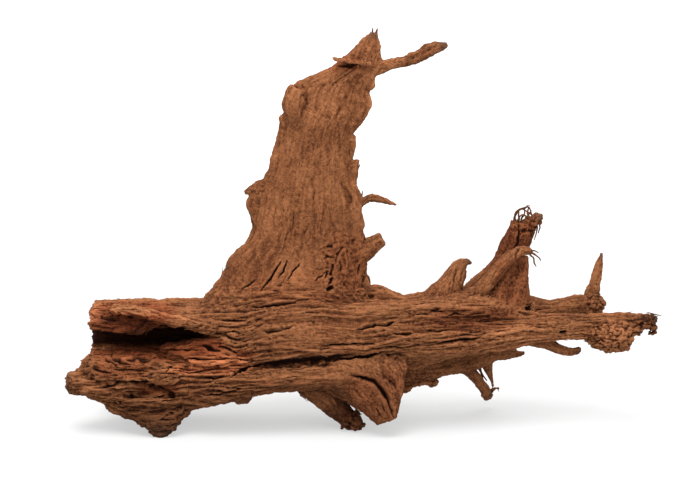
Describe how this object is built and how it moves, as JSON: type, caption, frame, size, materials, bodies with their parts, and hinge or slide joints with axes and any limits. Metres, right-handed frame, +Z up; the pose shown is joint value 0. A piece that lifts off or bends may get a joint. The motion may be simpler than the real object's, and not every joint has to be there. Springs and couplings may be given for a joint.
{
  "type": "piece of driftwood",
  "caption": "Weathered driftwood root lying on worn feet, with an upright blade, broken limbs and a hollow end.",
  "frame": {"origin": "on the ground, under the centre of the box around the piece", "axes": "+X along the stock, from the hollow end to the burled end; +Y to the back; +Z up"},
  "size_m": [0.5913, 0.1403, 0.3964],
  "materials": {
    "weathered_wood": "weathered, dry and fibrous, red-brown"
  },
  "bodies": {
    "root": {"driftwood": "weathered_wood"}
  },
  "joints": []
}
